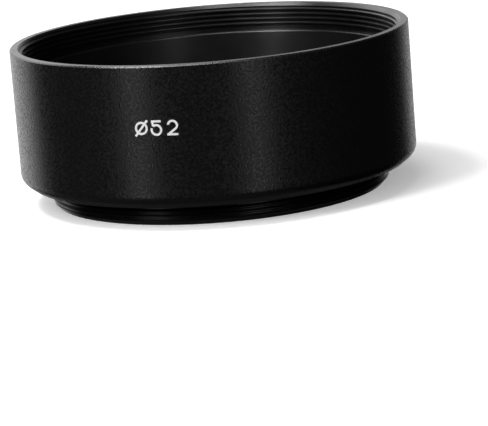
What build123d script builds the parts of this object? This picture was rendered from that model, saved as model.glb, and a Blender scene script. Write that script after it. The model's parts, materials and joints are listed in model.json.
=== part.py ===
from build123d import *
import math
import os

# Screw-in metal lens hood: a turned aluminium barrel carried on a threaded mount ring, with a
# printed size mark. Units are millimetres. +Z points to the subject along the optical axis, and
# the origin is the centre of the mount ring's rear end, which is also the hood's lowest plane.

# ---- Driving dimensions ----
lens_thread_diameter = 52.0     # male thread at the rear, nominal
cap_thread_diameter = 58.0      # female thread at the front, nominal
thread_pitch = 0.75             # both threads are fine 60 degree filter threads
barrel_diameter = 61.0
overall_height = 24.45
ring_projection = 3.4           # how far the mount ring stands out below the barrel
barrel_wall = 2.27              # below the front thread

# ---- Thread form ----
half_angle_slope = math.tan(math.radians(30.0))
male_crest_radius = lens_thread_diameter / 2
male_root_radius = lens_thread_diameter / 2 - 0.6134 * thread_pitch
female_root_radius = cap_thread_diameter / 2 + 0.03
female_crest_radius = cap_thread_diameter / 2 - 0.5413 * thread_pitch
male_root_width = thread_pitch / 6
female_root_width = thread_pitch / 12
male_crossing_height = 1.025    # where a male groove crosses the -Y side
female_crossing_depth = 0.585   # how far below the rim the first female groove crosses the +Y side
male_run_in = 0.7               # how far below the ring's end its groove starts
cutter_overrun = 0.05           # how far a cutter reaches out of the metal, so that it cuts cleanly
run_out_angle = 180.0           # where a cutter ends: opposite the seam of the turned blank, on the -X side

# ---- Radii ----
barrel_radius = barrel_diameter / 2
inner_wall_radius = barrel_radius - barrel_wall
rim_opening_radius = cap_thread_diameter / 2 + 0.3
ledge_radius = female_root_radius + 0.02        # front thread's run-out groove
ledge_break = 0.3                               # bevel on the ledge below the front thread
seat_radius = barrel_radius - 1.44              # lower end of the barrel's rear taper
taper_round = 1.6                               # rounding where the wall turns into the taper
spigot_radius = 27.0                            # mount ring where it sits in the barrel
flange_radius = inner_wall_radius - 0.15
flange_land = 0.9                               # flat top of the flange, outside its 45 degree cone
light_bore_radius = 24.6
male_relief_radius = 25.3
male_end_radius = 25.25                         # below the 45 degree chamfer on the ring's end

# ---- Heights above the mount ring's rear end ----
taper_top = ring_projection + 1.135
lip_top = ring_projection + 2.0                 # the barrel's inner lip, which the flange rests on
flange_top = lip_top + 1.0
male_thread_top = 2.4
rim_edge_break = 0.2
ledge_height = overall_height - 4.4
relief_top = ledge_height + 0.7
fit_gap = 0.02                                  # bond line between spigot and lip
bore_edge_break = 0.15

# ---- Size mark ----
mark_azimuth = -16.2            # degrees about Z from the -Y side
mark_baseline = 14.33
mark_cap_height = 2.28
mark_stroke = 0.32
mark_thickness = 0.04
mark_glyph_pitch = 2.35         # between the middles of neighbouring characters


def turned(points):
    """A solid of revolution about Z from (radius, height) points."""
    profile = Plane.XZ * Polygon(*points, align=None)
    return revolve(profile, Axis.Z)


def helix(radius, low, high):
    return Helix(pitch=thread_pitch, height=high - low, radius=radius, center=(0, 0, low))


def thread_cutter(mouth_radius, root_radius, root_width, low, high):
    """A helical groove from height low up to height high: four ruled faces and two end caps."""
    mouth_width = root_width + 2 * abs(mouth_radius - root_radius) * half_angle_slope
    corners = []
    for radius, width in ((mouth_radius, mouth_width), (root_radius, root_width)):
        for side in (0.5, -0.5):
            corners.append(helix(radius, low + side * width, high + side * width))
    mouth_above, mouth_below, root_above, root_below = corners
    loop = [mouth_above, mouth_below, root_below, root_above]
    faces = []
    for first, second in zip(loop, loop[1:] + loop[:1]):
        faces.append(Face.make_surface_from_curves(first, second))
    for end in (0, 1):
        cap = Polyline(*[edge @ end for edge in loop], close=True)
        faces.append(Face(Wire(cap.edges())))
    start_angle = run_out_angle - 360.0 * (high - low) / thread_pitch
    return Rot(0, 0, start_angle) * Solid(Shell(faces))


def thread_phase(high, crossing_height, crossing_angle):
    """The turn about Z that brings a thread, run out at height high, to a given height at a given angle."""
    turns_down = (high - crossing_height) / thread_pitch
    return Rot(0, 0, crossing_angle - run_out_angle + 360.0 * turns_down)


def cut_thread(blank, cutter, root_radius, crest_radius, low, high):
    """Takes the groove out of the blank between two heights, and stops the build if it stayed uncut."""
    threaded = blank - cutter
    turns_in_metal = (high - low) / thread_pitch
    depth = abs(crest_radius - root_radius)
    groove_area = depth * depth * half_angle_slope
    least_removed = turns_in_metal * 2 * math.pi * min(root_radius, crest_radius) * groove_area
    if blank.volume - threaded.volume < least_removed:
        raise RuntimeError("the thread cutter left the blank uncut")
    return threaded


def make_barrel():
    """The outer shell: tapered at the rear, female thread, run-out groove and ledge at the front."""
    lip_bore = spigot_radius + fit_gap
    lead_in = rim_opening_radius - female_crest_radius
    shell = turned(
        [
            (lip_bore, ring_projection),
            (seat_radius, ring_projection),
            (barrel_radius, taper_top),
            (barrel_radius, overall_height - rim_edge_break),
            (barrel_radius - rim_edge_break, overall_height),
            (rim_opening_radius, overall_height),
            (female_crest_radius, overall_height - lead_in),
            (female_crest_radius, relief_top),
            (ledge_radius, relief_top),
            (ledge_radius, ledge_height),
            (inner_wall_radius + ledge_break, ledge_height),
            (inner_wall_radius, ledge_height - ledge_break),
            (inner_wall_radius, lip_top),
            (lip_bore, lip_top),
        ]
    )
    taper_edge = shell.edges().filter_by_position(Axis.Z, taper_top, taper_top).sort_by(SortBy.LENGTH)[-1]
    shell = fillet(taper_edge, taper_round)
    low = relief_top
    high = overall_height + thread_pitch / 2
    mouth_radius = female_crest_radius - cutter_overrun
    cutter = thread_cutter(mouth_radius, female_root_radius, female_root_width, low, high)
    radii = (female_root_radius, female_crest_radius)
    threaded = cut_thread(shell, cutter, *radii, relief_top, overall_height - lead_in)
    return thread_phase(high, overall_height - female_crossing_depth, 90.0) * threaded


def make_mount_ring():
    """The threaded ring: male thread, relief, spigot in the barrel's lip, and an inner flange."""
    end_chamfer = male_crest_radius - male_end_radius
    cone_top_radius = flange_radius - flange_land
    cone_height = cone_top_radius - light_bore_radius
    body = turned(
        [
            (light_bore_radius + bore_edge_break, 0),
            (male_end_radius, 0),
            (male_crest_radius, end_chamfer),
            (male_crest_radius, male_thread_top),
            (male_relief_radius, male_thread_top),
            (male_relief_radius, ring_projection),
            (spigot_radius, ring_projection),
            (spigot_radius, lip_top),
            (flange_radius, lip_top),
            (flange_radius, flange_top),
            (cone_top_radius, flange_top),
            (light_bore_radius, flange_top - cone_height),
            (light_bore_radius, bore_edge_break),
        ]
    )
    low = -male_run_in
    high = (male_thread_top + ring_projection) / 2
    mouth_radius = male_crest_radius + cutter_overrun
    cutter = thread_cutter(mouth_radius, male_root_radius, male_root_width, low, high)
    radii = (male_root_radius, male_crest_radius)
    threaded = cut_thread(body, cutter, *radii, end_chamfer, male_thread_top)
    return thread_phase(high, male_crossing_height, 270.0) * threaded


def diameter_sign():
    """A circle with a slanted stroke through it, on its own baseline, centred on x = 0."""
    middle = mark_cap_height / 2
    ring_radius = 0.36 * mark_cap_height
    ring = Circle(ring_radius + mark_stroke / 2) - Circle(ring_radius - mark_stroke / 2)
    slash_end = Vector(0.42 * mark_cap_height, mark_cap_height / 2)
    slash = trace(Line(-slash_end, slash_end), line_width=mark_stroke)
    return Pos(0, middle) * (ring + slash)


def digit_five():
    """Top bar, upright and a round bowl, drawn as strokes along their middle lines."""
    edge = mark_stroke / 2
    top = mark_cap_height - edge
    left = -0.27 * mark_cap_height
    bowl_radius = 0.31 * mark_cap_height
    bowl_centre = (-0.03 * mark_cap_height, bowl_radius + edge)
    bowl = CenterArc(bowl_centre, bowl_radius, 130, -330)
    upright = Line((left, top), bowl @ 0)
    bar = Line((left - edge, top), (0.29 * mark_cap_height, top))
    return trace(bar, mark_stroke) + trace(upright, mark_stroke) + trace(bowl, mark_stroke)


def digit_two():
    """Round head, slanted neck and a flat foot, drawn as strokes along their middle lines."""
    edge = mark_stroke / 2
    head_radius = 0.29 * mark_cap_height
    head = CenterArc((0, mark_cap_height - head_radius - edge), head_radius, 170, -205)
    foot_left = (-0.31 * mark_cap_height, edge)
    neck = Line(head @ 1, foot_left)
    foot = Line((foot_left[0] - edge, edge), (0.33 * mark_cap_height, edge))
    return trace(head, mark_stroke) + trace(neck, mark_stroke) + trace(foot, mark_stroke)


def make_size_mark():
    """The diameter sign and the thread size as thin ink solids lying on the barrel."""
    band_height = 2 * mark_cap_height
    band = Pos(0, 0, mark_baseline + mark_cap_height / 2) * (
        Cylinder(barrel_radius + mark_thickness, band_height) - Cylinder(barrel_radius, band_height)
    )
    glyphs = [diameter_sign(), digit_five(), digit_two()]
    solids = []
    for index, glyph in enumerate(glyphs):
        offset = (index - (len(glyphs) - 1) / 2) * mark_glyph_pitch
        angle = math.radians(mark_azimuth) + offset / barrel_radius
        outward = Vector(math.sin(angle), -math.cos(angle), 0)
        across = Vector(math.cos(angle), math.sin(angle), 0)
        foot = outward * barrel_radius + Vector(0, 0, mark_baseline)
        place = Plane(origin=foot, x_dir=across, z_dir=outward)
        prism = extrude(place * glyph, amount=mark_stroke, both=True)
        solids += (band & prism).solids()
    return Compound(children=solids)


def main():
    os.makedirs("parts", exist_ok=True)
    nodes = {
        "hood_barrel": make_barrel(),
        "mount_ring": make_mount_ring(),
        "size_mark": make_size_mark(),
    }
    for name, shape in nodes.items():
        export_step(shape, f"parts/{name}.step")


main()
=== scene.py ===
import json
import math
import bmesh
import bpy
from mathutils import Matrix, Vector


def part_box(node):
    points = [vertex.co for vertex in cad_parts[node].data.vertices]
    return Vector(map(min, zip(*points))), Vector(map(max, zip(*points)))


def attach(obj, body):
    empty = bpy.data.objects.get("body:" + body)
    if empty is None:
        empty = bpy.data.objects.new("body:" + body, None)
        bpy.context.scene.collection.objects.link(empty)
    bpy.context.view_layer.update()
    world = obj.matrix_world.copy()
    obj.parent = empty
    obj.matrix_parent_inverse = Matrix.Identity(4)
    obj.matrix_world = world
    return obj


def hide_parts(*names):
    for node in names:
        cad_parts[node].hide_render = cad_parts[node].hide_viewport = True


# Screw-in metal lens hood: bead-blasted black barrel, turned mount ring and printed size mark.
# Sizes are millimetres in the row's frame (+Z to the subject), and MM makes metres of them. The
# lights, the floor and the materials' scales are in metres.

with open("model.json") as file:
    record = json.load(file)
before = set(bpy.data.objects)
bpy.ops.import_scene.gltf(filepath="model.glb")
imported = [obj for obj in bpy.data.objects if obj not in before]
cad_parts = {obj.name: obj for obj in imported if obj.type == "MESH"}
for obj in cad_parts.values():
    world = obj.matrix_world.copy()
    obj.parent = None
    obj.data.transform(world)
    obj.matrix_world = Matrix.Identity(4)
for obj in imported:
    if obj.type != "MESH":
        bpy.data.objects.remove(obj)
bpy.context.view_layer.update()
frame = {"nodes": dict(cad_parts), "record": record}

MM = 0.001
COLUMNS = 640                   # divisions round every turned surface


# ---- Sizes, from the frame where it states them ----

def mount(name):
    """One of the record's mounts."""
    return next(m for m in frame["record"]["mounts"] if m["name"] == name)


barrel_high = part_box("hood_barrel")[1] / MM
ring_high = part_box("mount_ring")[1] / MM

barrel_radius = round(barrel_high.x, 2)
rim_height = round(barrel_high.z, 2)
seat_height = mount("rear_seat")["pos_m"][2] / MM
flange_top = round(ring_high.z, 2)
flange_radius = round(ring_high.x, 2)
male_crest = mount("rear_thread")["dims"]["r_mm"]
female_crest = mount("front_thread")["dims"]["r_mm"]

# The rest are the CAD's own dimensions, which the frame doesn't state.
thread_pitch = 0.75
male_depth = 0.6134 * thread_pitch
female_depth = 0.5413 * thread_pitch
front_nominal = female_crest + female_depth     # the front thread's nominal radius
male_root = male_crest - male_depth
female_root = front_nominal + 0.03
male_crest_width = thread_pitch / 8
female_crest_width = thread_pitch / 4
male_crest_height = 0.65        # a crest's middle on the -Y side
female_crest_depth = 0.96       # a crest's middle below the rim on the +Y side
flank_slope = math.tan(math.radians(30.0))      # along Z per unit of depth

barrel_wall = 2.27
inner_wall = barrel_radius - barrel_wall
rim_opening = front_nominal + 0.3
rim_edge_break = 0.2
relief_radius = female_root + 0.02              # the groove that the front thread runs out into
relief_width = 0.7
ledge_depth = 4.4               # below the rim
ledge_height = rim_height - ledge_depth
ledge_break = 0.3               # a bevel in the CAD, and a rounding of the same reach here
relief_top = ledge_height + relief_width
lip_thickness = 2.0
lip_top = seat_height + lip_thickness
fit_gap = 0.02                  # between the ring's spigot and the barrel's lip
taper_depth = 1.44              # how far the rear taper goes in from the wall
taper_height = 1.135
seat_radius = barrel_radius - taper_depth
taper_top = seat_height + taper_height
taper_round = 1.6
spigot_radius = 27.0
lip_bore = spigot_radius + fit_gap
light_bore = 24.6
flange_land = 0.9
bore_edge_break = 0.15
male_relief = 25.3
male_end = 25.25
male_thread_top = 2.4

# How the meshes are divided and eased.
SHARP_ANGLE = 38.0              # degrees between faces, from where an edge is shaded sharp
FEW_SEGMENTS, MANY_SEGMENTS = 3, 10
LARGE_ROUNDING = 0.2            # roundings from this radius up have many segments
LONGEST_SUPPORT = 0.1           # how far a rounding's outer points reach into the flats
male_edge = 0.012               # easing of the threads' crests
female_edge = 0.015
plain_lead_in = 0.1             # part of the front lead-in cone that the thread doesn't reach
plain_chamfer = 0.05            # part of the ring's end chamfer that the thread doesn't reach


# ---- Turned profiles ----

def corner_points(before, corner, after, radius, segments):
    """The rounded corner as points, with a point on each side that keeps the flats flat."""
    if radius == 0:
        return [corner]
    corner = Vector(corner)
    to_before = (Vector(before) - corner).normalized()
    to_after = (Vector(after) - corner).normalized()
    half = to_before.angle(to_after) / 2
    reach = radius / math.tan(half)
    centre = corner + (to_before + to_after).normalized() * (radius / math.sin(half))
    start = corner + to_before * reach - centre
    finish = corner + to_after * reach - centre
    support = min(radius / 2, LONGEST_SUPPORT)
    points = [centre + start + to_before * support]
    sweep = start.angle_signed(finish)
    for step in range(segments + 1):
        turn = Matrix.Rotation(-sweep * step / segments, 2)
        points.append(centre + turn @ start)
    points.append(centre + finish + to_after * support)
    return [tuple(point) for point in points]


def thread_rows(crest, root, crest_width, edge):
    """Offsets along one pitch and the radius there: crest, flanks and root, with eased edges."""
    flank = abs(crest - root) * flank_slope
    inward = math.copysign(edge, root - crest)
    half = crest_width / 2
    rows = [
        (-half + edge, crest),
        (0.0, crest),
        (half - edge, crest),
        (half + edge * flank_slope / 2, crest + inward / 2),
        (half + edge * flank_slope * 2, crest + inward * 2),
        (half + flank / 2, (crest + root) / 2),
        (half + flank, root),
    ]
    mirrored = [(thread_pitch - offset, radius) for offset, radius in reversed(rows[3:])]
    return rows + mirrored


def profile_radius(offset, rows):
    """The thread's radius at an offset along the pitch, between the rows on either side."""
    offset %= thread_pitch
    table = rows + [(thread_pitch + rows[0][0], rows[0][1])]
    if offset < table[0][0]:
        offset += thread_pitch
    for (low, low_radius), (high, high_radius) in zip(table, table[1:]):
        if offset <= high:
            share = (offset - low) / (high - low)
            return low_radius + share * (high_radius - low_radius)
    return table[-1][1]


class Lathe:
    """A closed turned mesh: rings of vertices, and helical rows where there is a thread."""

    def __init__(self):
        self.vertices = []
        self.faces = []
        self.face_slots = []

    def add(self, angle, radius, height):
        self.vertices.append((radius * MM * math.cos(angle), radius * MM * math.sin(angle), height * MM))
        return len(self.vertices) - 1

    def ring(self, radius, height):
        return [self.add(math.tau * i / COLUMNS, radius, height) for i in range(COLUMNS)]

    def face(self, corners, slot):
        """A face, unless its corners fall together until fewer than three are left."""
        unique = list(dict.fromkeys(corners))
        if len(unique) > 2:
            self.faces.append(unique)
            self.face_slots.append(slot)

    def bridge(self, first, second, slot):
        """Faces all the way round between two rings of vertices."""
        for i in range(COLUMNS):
            j = (i + 1) % COLUMNS
            self.face([first[i], first[j], second[j], second[i]], slot)

    def run(self, corners, before, after):
        """Faces along a run of (radius, height, edge radius, surface) corners, from the point
        before it to the point after it. Returns the first and the last ring of vertices."""
        flat = [before] + [corner[:2] for corner in corners] + [after]
        rings = []
        surfaces = []
        for index, (_, _, edge, surface) in enumerate(corners):
            segments = MANY_SEGMENTS if edge >= LARGE_ROUNDING else FEW_SEGMENTS
            for radius, height in corner_points(*flat[index:index + 3], edge, segments):
                rings.append(self.ring(radius, height))
                surfaces.append(surface)
        for first, second, surface in zip(rings, rings[1:], surfaces):
            self.bridge(first, second, surface)
        return rings[0], rings[-1]

    def thread(self, rows, crest_height, crest_angle, low, high, blank, slot):
        """Helical rows between two heights. Returns the vertex rings at the low and the high end.
        blank(radius, height) cuts the thread's radius back to the turned blank."""
        per_turn = len(rows)
        # The crest's height at angle 0, and enough turns to reach past both ends all the way round.
        lead = crest_height - thread_pitch * crest_angle / math.tau
        first_turn = math.floor((low - lead) / thread_pitch) - 2
        last_turn = math.ceil((high - lead) / thread_pitch) + 1
        count = (last_turn - first_turn) * per_turn

        def radius_at(angle, height):
            offset = height - lead - thread_pitch * angle / math.tau
            return blank(profile_radius(offset, rows), height)

        angles = [math.tau * i / COLUMNS for i in range(COLUMNS)]
        low_ring = [self.add(angle, radius_at(angle, low), low) for angle in angles]
        high_ring = [self.add(angle, radius_at(angle, high), high) for angle in angles]
        columns = []
        for i, angle in enumerate(angles):
            column = []
            for step in range(count):
                turn, row = divmod(step, per_turn)
                offset, radius = rows[row]
                height = lead + thread_pitch * (first_turn + turn + angle / math.tau) + offset
                # Past an end, a row falls together with that end's ring.
                if height <= low:
                    column.append(low_ring[i])
                elif height >= high:
                    column.append(high_ring[i])
                else:
                    column.append(self.add(angle, blank(radius, height), height))
            columns.append(column)
        for i in range(COLUMNS):
            j = (i + 1) % COLUMNS
            # The last column meets the first one a whole turn of thread further up.
            shift = per_turn if j == 0 else 0
            left, right = columns[i], columns[j]
            for step in range(count - 1):
                here = min(step + shift, count - 1)
                above = min(step + 1 + shift, count - 1)
                self.face([left[step], right[here], right[above], left[step + 1]], slot)
        return low_ring, high_ring

    def mesh(self, name, materials):
        mesh = bpy.data.meshes.new(name)
        mesh.from_pydata(self.vertices, [], self.faces)
        for material in materials:
            mesh.materials.append(material)
        mesh.polygons.foreach_set("material_index", self.face_slots)
        mesh.polygons.foreach_set("use_smooth", [True] * len(mesh.polygons))
        mesh.validate()
        piece = bpy.data.objects.new(name, mesh)
        bpy.context.scene.collection.objects.link(piece)
        face_outward(mesh)
        mesh.set_sharp_from_angle(angle=math.radians(SHARP_ANGLE))
        return piece


def face_outward(mesh):
    """Turns every face of a closed mesh to the outside."""
    work = bmesh.new()
    work.from_mesh(mesh)
    bmesh.ops.recalc_face_normals(work, faces=work.faces)
    work.to_mesh(mesh)
    work.free()


def make_barrel(materials):
    """The shell, with three surfaces in the order of its materials."""
    blasted, rim, inside = range(3)
    thread_end = rim_height - plain_lead_in
    lathe = Lathe()
    corners = [
        (relief_radius, relief_top, 0.0, inside),
        (relief_radius, ledge_height, 0.05, inside),
        (inner_wall, ledge_height, ledge_break, inside),
        (inner_wall, lip_top, 0.1, inside),
        (lip_bore, lip_top, 0.04, inside),
        (lip_bore, seat_height, 0.05, inside),
        (seat_radius, seat_height, 0.08, blasted),
        (barrel_radius, taper_top, taper_round, blasted),
        (barrel_radius, rim_height - rim_edge_break, 0.06, blasted),
        (barrel_radius - rim_edge_break, rim_height, 0.06, rim),
        (rim_opening, rim_height, 0.05, rim),
    ]
    end_of_cone = (rim_opening - plain_lead_in, thread_end)
    first, last = lathe.run(corners, (female_crest, relief_top), end_of_cone)

    def blank(radius, height):
        """The 45 degree lead-in cone cuts back the crests nearest the rim."""
        return max(radius, height + rim_opening - rim_height)

    rows = thread_rows(female_crest, female_root, female_crest_width, female_edge)
    low_ring, high_ring = lathe.thread(
        rows, rim_height - female_crest_depth, math.radians(90), relief_top, thread_end, blank, inside
    )
    lathe.bridge(first, low_ring, inside)
    lathe.bridge(high_ring, last, inside)
    return lathe.mesh("barrel_shell", materials)


def make_ring(material):
    """The threaded ring, which has one surface all over."""
    turned = 0
    cone_top = flange_radius - flange_land
    cone_low = flange_top - (cone_top - light_bore)
    lathe = Lathe()
    corners = [
        (male_relief, male_thread_top, 0.0, turned),
        (male_relief, seat_height, 0.05, turned),
        (spigot_radius, seat_height, 0.05, turned),
        (spigot_radius, lip_top, 0.03, turned),
        (flange_radius, lip_top, 0.05, turned),
        (flange_radius, flange_top, 0.08, turned),
        (cone_top, flange_top, 0.08, turned),
        (light_bore, cone_low, 0.08, turned),
        (light_bore, bore_edge_break, 0.04, turned),
        (light_bore + bore_edge_break, 0.0, 0.04, turned),
        (male_end, 0.0, 0.04, turned),
    ]
    end_of_chamfer = (male_end + plain_chamfer, plain_chamfer)
    first, last = lathe.run(corners, (male_crest, male_thread_top), end_of_chamfer)

    def blank(radius, height):
        """The 45 degree chamfer cuts back the crests nearest the ring's end."""
        return min(radius, male_end + height)

    rows = thread_rows(male_crest, male_root, male_crest_width, male_edge)
    low_ring, high_ring = lathe.thread(
        rows, male_crest_height, math.radians(270), plain_chamfer, male_thread_top, blank, turned
    )
    lathe.bridge(last, low_ring, turned)
    lathe.bridge(high_ring, first, turned)
    return lathe.mesh("mount_ring_turned", [material])


# ---- Materials ----

# Wall: dimples, and a gloss that varies between them.
WALL_ROUGHNESS = 0.28
WALL_GLOSS_RANGE = 0.13         # how far the roughness goes either way
DIMPLE_STRENGTH = 0.3
DIMPLE_DEPTH = 0.00005          # metres, like the depths below
DIMPLES_PER_METRE = 3400.0
GLOSS_SPOTS_PER_METRE = 2800.0
WALL_PATCHES_PER_METRE = 160.0  # slow changes of colour
# Turned surfaces: tool marks, a little fine grain, and a finish that varies slowly.
RIM_ROUGHNESS = 0.24
TURNED_ROUGHNESS = 0.34         # the barrel's inside and the ring
TURNED_ANISOTROPY = 0.7
TURNED_GLOSS_RANGE = 0.04
TOOL_MARK_STRENGTH = 0.8
TOOL_MARK_DEPTH = 0.00001
TOOL_MARKS_PER_METRE = 10000.0
TURNED_GRAIN_PER_METRE = 5200.0
TURNED_GRAIN_SHARE = 0.35
TURNED_PATCHES_PER_METRE = 220.0
# Ink: the wall's dimples through it, and thin spots.
INK_STRENGTH = 0.5
INK_DEPTH = 0.00002
INK_DIMPLES_PER_METRE = 3300.0
INK_SPOTS_PER_METRE = 2600.0


def principled(name, base, roughness):
    """A new material, and its shader."""
    material = bpy.data.materials.new(name)
    material.use_nodes = True
    shader = material.node_tree.nodes["Principled BSDF"]
    shader.inputs["Base Color"].default_value = (*base, 1.0)
    shader.inputs["Roughness"].default_value = roughness
    return material, shader


class Graph:
    """Short calls for building a node tree; materials use the object's own coordinates."""

    def __init__(self, owner):
        self.tree = owner.node_tree
        self.place = self.add("ShaderNodeTexCoord").outputs["Object"]

    def add(self, kind, **settings):
        made = self.tree.nodes.new(kind)
        for key, value in settings.items():
            if key in made.inputs:
                made.inputs[key].default_value = value
            else:
                setattr(made, key, value)
        return made

    def link(self, source, target):
        self.tree.links.new(source, target)

    def math(self, operation, first, second):
        made = self.add("ShaderNodeMath", operation=operation)
        for socket, value in zip(made.inputs, (first, second)):
            if isinstance(value, (int, float)):
                socket.default_value = value
            else:
                self.link(value, socket)
        return made.outputs["Value"]

    def noise(self, scale, detail=2.0, vector=None):
        made = self.add("ShaderNodeTexNoise", Scale=scale, Detail=detail)
        self.link(vector or self.place, made.inputs["Vector"])
        return made.outputs["Fac"]

    def cells(self, scale):
        made = self.add("ShaderNodeTexVoronoi", Scale=scale)
        self.link(self.place, made.inputs["Vector"])
        return made.outputs["Distance"]

    def remap(self, value, low, high, to_low, to_high, smooth=False):
        made = self.add("ShaderNodeMapRange", interpolation_type="SMOOTHSTEP" if smooth else "LINEAR")
        self.link(value, made.inputs["Value"])
        for socket, number in zip(list(made.inputs)[1:5], (low, high, to_low, to_high)):
            socket.default_value = number
        return made.outputs["Result"]

    def blend(self, share, first, second):
        made = self.add("ShaderNodeMix", data_type="RGBA")
        self.link(share, made.inputs["Factor"])
        colours = [socket for socket in made.inputs if socket.type == "RGBA"]
        colours[0].default_value = (*first, 1.0)
        colours[1].default_value = (*second, 1.0)
        return next(socket for socket in made.outputs if socket.type == "RGBA")

    def bump(self, height, depth, strength, shader):
        made = self.add("ShaderNodeBump", Strength=strength, Distance=depth)
        self.link(height, made.inputs["Height"])
        self.link(made.outputs["Normal"], shader.inputs["Normal"])

    def vary_roughness(self, pattern, roughness, either_way, shader):
        """Roughness from a noise pattern, which lies mostly between 0.3 and 0.7."""
        varied = self.remap(pattern, 0.3, 0.7, roughness - either_way, roughness + either_way)
        self.link(varied, shader.inputs["Roughness"])

    def turned_place(self):
        """(radius, 0, height): the same all the way round, as a lathe tool leaves its marks."""
        split = self.add("ShaderNodeSeparateXYZ")
        self.link(self.place, split.inputs["Vector"])
        across = self.math("MULTIPLY", split.outputs["X"], split.outputs["X"])
        along = self.math("MULTIPLY", split.outputs["Y"], split.outputs["Y"])
        radius = self.math("SQRT", self.math("ADD", across, along), 0.0)
        joined = self.add("ShaderNodeCombineXYZ")
        self.link(radius, joined.inputs["X"])
        self.link(split.outputs["Z"], joined.inputs["Z"])
        return joined.outputs["Vector"]


def blasted_black():
    """Bead-blasted and black anodised: fine shallow dimples, and a gloss that varies between them."""
    material, shader = principled("blasted_black", (0.0062, 0.0057, 0.0065), WALL_ROUGHNESS)
    graph = Graph(material)
    uneven = graph.noise(DIMPLES_PER_METRE, detail=1.0)
    dimples = graph.math("ADD", uneven, graph.cells(DIMPLES_PER_METRE))
    graph.bump(dimples, DIMPLE_DEPTH, DIMPLE_STRENGTH, shader)
    patches = graph.noise(WALL_PATCHES_PER_METRE, detail=3.0)
    colour = graph.blend(patches, (0.0051, 0.0049, 0.0055), (0.0073, 0.0065, 0.0075))
    graph.link(colour, shader.inputs["Base Color"])
    spots = graph.noise(GLOSS_SPOTS_PER_METRE, detail=1.0)
    graph.vary_roughness(spots, WALL_ROUGHNESS, WALL_GLOSS_RANGE, shader)
    return material


def turned_black(name, roughness):
    """Turned and black anodised: fine rings left by the tool, and a slightly uneven finish.
    The rings spread a reflection across themselves, and leave it narrow along themselves."""
    material, shader = principled(name, (0.0045, 0.0045, 0.0048), roughness)
    shader.inputs["Anisotropic"].default_value = TURNED_ANISOTROPY
    shader.inputs["Anisotropic Rotation"].default_value = 0.25      # a quarter turn from the tangent
    graph = Graph(material)
    round_the_axis = graph.add("ShaderNodeTangent", direction_type="RADIAL", axis="Z")
    graph.link(round_the_axis.outputs["Tangent"], shader.inputs["Tangent"])
    marks = graph.noise(TOOL_MARKS_PER_METRE, vector=graph.turned_place())
    grain = graph.noise(TURNED_GRAIN_PER_METRE, detail=1.0)
    height = graph.math("ADD", marks, graph.math("MULTIPLY", grain, TURNED_GRAIN_SHARE))
    graph.bump(height, TOOL_MARK_DEPTH, TOOL_MARK_STRENGTH, shader)
    patches = graph.noise(TURNED_PATCHES_PER_METRE, detail=3.0)
    colour = graph.blend(patches, (0.0033, 0.0033, 0.0037), (0.0058, 0.0055, 0.0058))
    graph.link(colour, shader.inputs["Base Color"])
    graph.vary_roughness(patches, roughness, TURNED_GLOSS_RANGE, shader)
    return material


def white_ink():
    """Screen-printed ink: matt, a little thin in places, with the dimples of the wall showing through."""
    material, shader = principled("white_ink", (0.85, 0.85, 0.83), 0.55)
    graph = Graph(material)
    graph.bump(graph.noise(INK_DIMPLES_PER_METRE), INK_DEPTH, INK_STRENGTH, shader)
    spots = graph.noise(INK_SPOTS_PER_METRE)
    colour = graph.blend(spots, (0.98, 0.98, 0.97), (0.91, 0.91, 0.90))
    graph.link(colour, shader.inputs["Base Color"])
    return material


# ---- Studio ----

LIGHT_DISTANCE = 0.7
# name, azimuth and elevation in degrees, width and height as angles seen from the hood, radiance.
# Azimuth 0 is the -Y side, where the camera stands, and 90 is the +X side.
SOFTBOXES = (
    ("key_left_high", -46, 35, 13, 26, 12.5),
    ("key_right_high", 27, 35, 13, 26, 3.5),
    ("key_right_low", 26, 10, 18, 21, 0.6),
    ("top_left", -74, 65, 30, 15, 15.0),
    ("top_middle", -28, 81, 14, 22, 7.2),
    ("back_left_high", -145, 35, 45, 26, 1.5),
)
# Far surroundings that only reflections see: azimuth, angle of full strength, angle where it has
# faded out, height of a unit direction where it starts to fade, radiance. The first two are the
# pale backdrop, lower on its right side, and the others two tall windows in front.
SURROUNDINGS = (
    (-154, 13, 37, 1.00, 1.08),
    (172, 11, 34, 0.12, 0.68),
    (-46, 1, 9, 1.00, 1.10),
    (22, 1, 7, 1.00, 1.06),
)
TOP_FADE = 0.25                 # from where a part of the surroundings starts to fade to its end
LEAST_SEEN = 0.015              # radiance of the surroundings everywhere else
# Below these heights of a unit direction, the surroundings fade and then end in dark.
FADE_START, FADE_END = -0.25, -0.5
# A light that lifts the ink and stays out of the reflections: azimuth, elevation, angle, radiance.
FILL = (-16, 35, 40, 1.8)
# A faint light under the hood, shifted along X so that the taper is lighter on its left.
UNDER_RADIANCE = 0.06
UNDER_DEPTH, UNDER_SIZE, UNDER_SHIFT = 0.3, 0.8, -0.22
FLOOR_HALF = 3.0                # half of the floor's width
FLOOR_GLOW = 0.35


def direction(azimuth, elevation):
    """A unit vector from the hood towards an azimuth and an elevation in degrees."""
    around, up = math.radians(azimuth), math.radians(elevation)
    return Vector((math.sin(around) * math.cos(up), -math.cos(around) * math.cos(up), math.sin(up)))


def area_light(name, target, away, distance, width, height, radiance):
    """A rectangular light that stands off in the direction away, and faces the target."""
    data = bpy.data.lights.new(name, "AREA")
    data.shape = "RECTANGLE"
    data.size = width
    data.size_y = height
    data.energy = radiance * math.pi * width * height
    lamp = bpy.data.objects.new(name, data)
    lamp.location = target + away * distance
    lamp.rotation_mode = "QUATERNION"
    lamp.rotation_quaternion = away.to_track_quat("Z", "Y")
    lamp.visible_camera = False
    bpy.context.scene.collection.objects.link(lamp)
    return lamp


def span(angle):
    """The width that fills an angle, seen from the hood at the lights' distance."""
    return 2 * LIGHT_DISTANCE * math.tan(math.radians(angle / 2))


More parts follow.
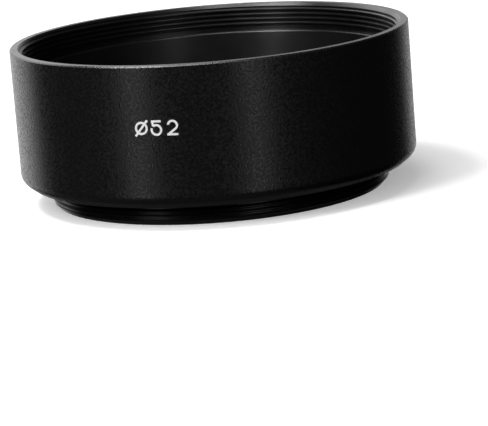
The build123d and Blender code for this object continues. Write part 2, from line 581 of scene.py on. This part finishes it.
def make_lights():
    middle = Vector((0.0, 0.0, rim_height / 2 * MM))
    for name, azimuth, elevation, wide, tall, radiance in SOFTBOXES:
        away = direction(azimuth, elevation)
        area_light(name, middle, away, LIGHT_DISTANCE, span(wide), span(tall), radiance)
    azimuth, elevation, angle, radiance = FILL
    away = direction(azimuth, elevation)
    fill = area_light("fill", middle, away, LIGHT_DISTANCE, span(angle), span(angle), radiance)
    fill.visible_glossy = False
    below = Vector((0.0, 0.0, -1.0))
    aside = Vector((UNDER_SHIFT, 0.0, 0.0))
    area_light("under", aside, below, UNDER_DEPTH, UNDER_SIZE, UNDER_SIZE, UNDER_RADIANCE)


def make_floor():
    """A pale floor, seen from above only, so that a view from below shows the hood's underside."""
    mesh = bpy.data.meshes.new("floor")
    corners = [(x * FLOOR_HALF, y * FLOOR_HALF, 0) for x, y in ((-1, -1), (1, -1), (1, 1), (-1, 1))]
    mesh.from_pydata(corners, [], [(0, 1, 2, 3)])
    material, shader = principled("floor_white", (0.9, 0.9, 0.9), 0.9)
    shader.inputs["Emission Color"].default_value = (1.0, 1.0, 1.0, 1.0)
    shader.inputs["Emission Strength"].default_value = FLOOR_GLOW
    graph = Graph(material)
    side = graph.add("ShaderNodeNewGeometry").outputs["Backfacing"]
    clear = graph.add("ShaderNodeBsdfTransparent").outputs["BSDF"]
    choice = graph.add("ShaderNodeMixShader")
    graph.link(side, choice.inputs["Fac"])
    graph.link(shader.outputs["BSDF"], choice.inputs[1])
    graph.link(clear, choice.inputs[2])
    graph.link(choice.outputs["Shader"], graph.tree.nodes["Material Output"].inputs["Surface"])
    mesh.materials.append(material)
    floor = bpy.data.objects.new("floor", mesh)
    bpy.context.scene.collection.objects.link(floor)
    floor.visible_glossy = False
    floor.visible_diffuse = False
    floor.visible_shadow = False


def make_world():
    """White to the camera. Reflections see the surroundings by compass direction, with soft sides."""
    world = bpy.data.worlds.new("studio")
    bpy.context.scene.world = world
    world.use_nodes = True
    graph = Graph(world)
    level = graph.add("ShaderNodeVectorMath", operation="MULTIPLY")
    facing = graph.add("ShaderNodeTexCoord").outputs["Generated"]
    graph.link(facing, level.inputs[0])
    level.inputs[1].default_value = (1.0, 1.0, 0.0)
    compass = graph.add("ShaderNodeVectorMath", operation="NORMALIZE")
    graph.link(level.outputs["Vector"], compass.inputs[0])
    split = graph.add("ShaderNodeSeparateXYZ")
    graph.link(facing, split.inputs["Vector"])
    seen = LEAST_SEEN
    for azimuth, full, faded, highest, radiance in SURROUNDINGS:
        towards = graph.add("ShaderNodeVectorMath", operation="DOT_PRODUCT")
        graph.link(compass.outputs["Vector"], towards.inputs[0])
        towards.inputs[1].default_value = direction(azimuth, 0)
        limits = (math.cos(math.radians(faded)), math.cos(math.radians(full)))
        strength = graph.remap(towards.outputs["Value"], *limits, 0.0, radiance, smooth=True)
        below_top = graph.remap(split.outputs["Z"], highest, highest + TOP_FADE, 1.0, 0.0, smooth=True)
        seen = graph.math("MAXIMUM", graph.math("MULTIPLY", strength, below_top), seen)
    above = graph.remap(split.outputs["Z"], FADE_END, FADE_START, 0.0, 1.0, smooth=True)
    seen = graph.math("MULTIPLY", seen, above)
    backdrop = world.node_tree.nodes["Background"]
    backdrop.inputs["Color"].default_value = (1.0, 1.0, 1.0, 1.0)
    from_camera = graph.add("ShaderNodeLightPath").outputs["Is Camera Ray"]
    graph.link(graph.math("MAXIMUM", from_camera, seen), backdrop.inputs["Strength"])
    world.cycles_visibility.diffuse = False


def make_camera():
    """A long lens a little above the rim, rolled so that the hood's right side stands high."""
    yaw, pitch, roll = 0.0075, 0.2100, -0.0796      # radians
    reach_y, reach_z = 13.9576, 2.0355      # camera from the rim's centre, in barrel radii
    ahead = Vector((math.sin(yaw) * math.cos(pitch), math.cos(yaw) * math.cos(pitch), -math.sin(pitch)))
    level_right = Vector((math.cos(yaw), -math.sin(yaw), 0.0))
    level_up = level_right.cross(ahead)
    right = math.cos(roll) * level_right + math.sin(roll) * level_up
    up = -math.sin(roll) * level_right + math.cos(roll) * level_up
    data = bpy.data.cameras.new("camera")
    data.sensor_width = 36.0
    data.lens = 207.3
    data.clip_start = 0.01
    data.clip_end = 20.0
    camera = bpy.data.objects.new("camera", data)
    turned = Matrix((right, up, -ahead)).transposed().to_4x4()
    place = Vector((0.0, -reach_y * barrel_radius, rim_height + reach_z * barrel_radius)) * MM
    camera.matrix_world = Matrix.Translation(place) @ turned
    bpy.context.scene.collection.objects.link(camera)
    bpy.context.scene.camera = camera


def main():
    blasted = blasted_black()
    rim = turned_black("rim_black", RIM_ROUGHNESS)
    inside = turned_black("inside_black", TURNED_ROUGHNESS)
    ring_black = turned_black("ring_black", TURNED_ROUGHNESS)

    barrel = make_barrel([blasted, rim, inside])
    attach(barrel, "root")
    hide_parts("hood_barrel")

    ring = make_ring(ring_black)
    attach(ring, "root")
    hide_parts("mount_ring")

    mark = frame["nodes"]["size_mark"]
    mark.data.materials.clear()
    mark.data.materials.append(white_ink())

    make_lights()
    make_floor()
    make_world()
    make_camera()
    bpy.context.scene.view_settings.view_transform = "Standard"


main()
